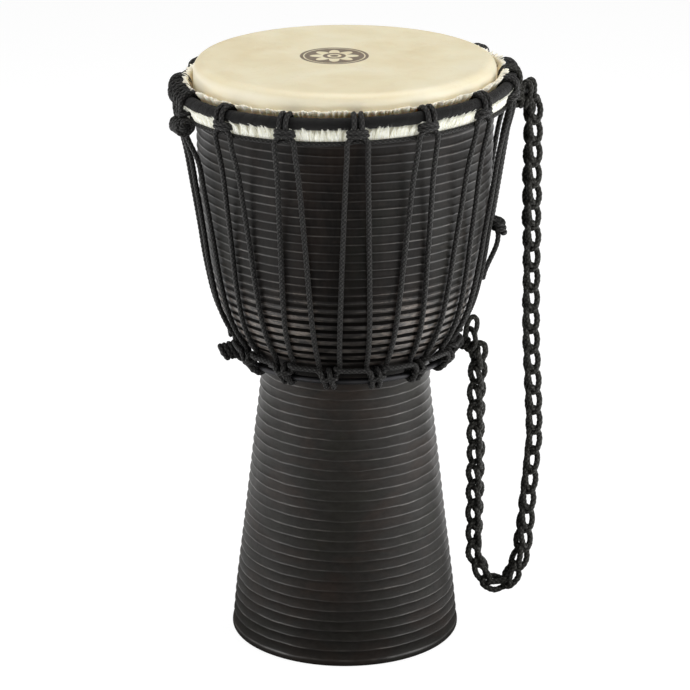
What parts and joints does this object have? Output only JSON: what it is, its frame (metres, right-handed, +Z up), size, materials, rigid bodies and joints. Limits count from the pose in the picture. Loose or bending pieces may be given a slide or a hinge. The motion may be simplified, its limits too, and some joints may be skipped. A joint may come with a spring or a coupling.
{
  "type": "djembe",
  "caption": "Rope-tuned goblet hand drum with a carved wood shell, skin head, rope lacing and a chained rope shoulder strap.",
  "frame": {"origin": "centre of the foot face, on the floor, under the drum's axis", "axes": "+Z up the drum's axis through the playing head; the player's side is -Y; the shoulder strap hangs on the +X side"},
  "size_m": [0.3139, 0.2915, 0.5],
  "materials": {
    "carved_wood": "satin dark stain over carved grooves, worn paler on the ridges",
    "goatskin": "smooth shaved rawhide, slightly mottled",
    "goat_hair": "soft off-white hair",
    "braided_rope": "braided synthetic rope, low sheen",
    "strap_rope": "braided synthetic rope, low sheen",
    "ring_cloth": "matte cloth strip wound round the ring",
    "black_steel": "satin black",
    "bare_steel": "plain drawn rod"
  },
  "bodies": {
    "drum": {"shell": "carved_wood", "drumhead": "goatskin", "bottom_ring": "black_steel", "lower_cradle_cord": "braided_rope", "lower_tie_knot": "braided_rope", "tension_rope": "braided_rope", "strap_lower_lashing": "strap_rope"},
    "crown": {"crown_ring_rod": "bare_steel", "crown_ring_wrap": "ring_cloth", "flesh_ring": "bare_steel", "skin_tuck": "goatskin", "goat_hair_fringe": "goat_hair", "upper_cradle_cord": "braided_rope", "upper_tie_knot": "braided_rope", "strap_upper_hitch": "strap_rope", "tail_rope": "braided_rope", "tail_knot": "braided_rope"},
    "strap_top": {"strap_outer_upper": "strap_rope", "strap_inner_upper": "strap_rope"},
    "strap_mid": {"strap_outer_middle": "strap_rope", "strap_inner_middle": "strap_rope"},
    "strap_end": {"strap_bottom": "strap_rope"}
  },
  "joints": [
    {"name": "tuning_draw", "type": "slide", "parent": "drum", "child": "crown", "axis": [0, 0, -1], "range_m": [0, 0.003], "deforming": ["tension_rope"]},
    {"name": "strap_swing", "type": "hinge", "parent": "drum", "child": "strap_top", "pos_m": [0.11193, 0, 0.25284], "axis": [0.1899, 0, 0.9818], "range_deg": [-20, 20]},
    {"name": "strap_fold_upper", "type": "hinge", "parent": "strap_top", "child": "strap_mid", "pos_m": [0.1349, 0, 0.21668], "axis": [1, 0, 0], "range_deg": [-45, 45]},
    {"name": "strap_fold_lower", "type": "hinge", "parent": "strap_mid", "child": "strap_end", "pos_m": [0.1336, 0, 0.10879], "axis": [1, 0, 0], "range_deg": [-45, 45]}
  ]
}
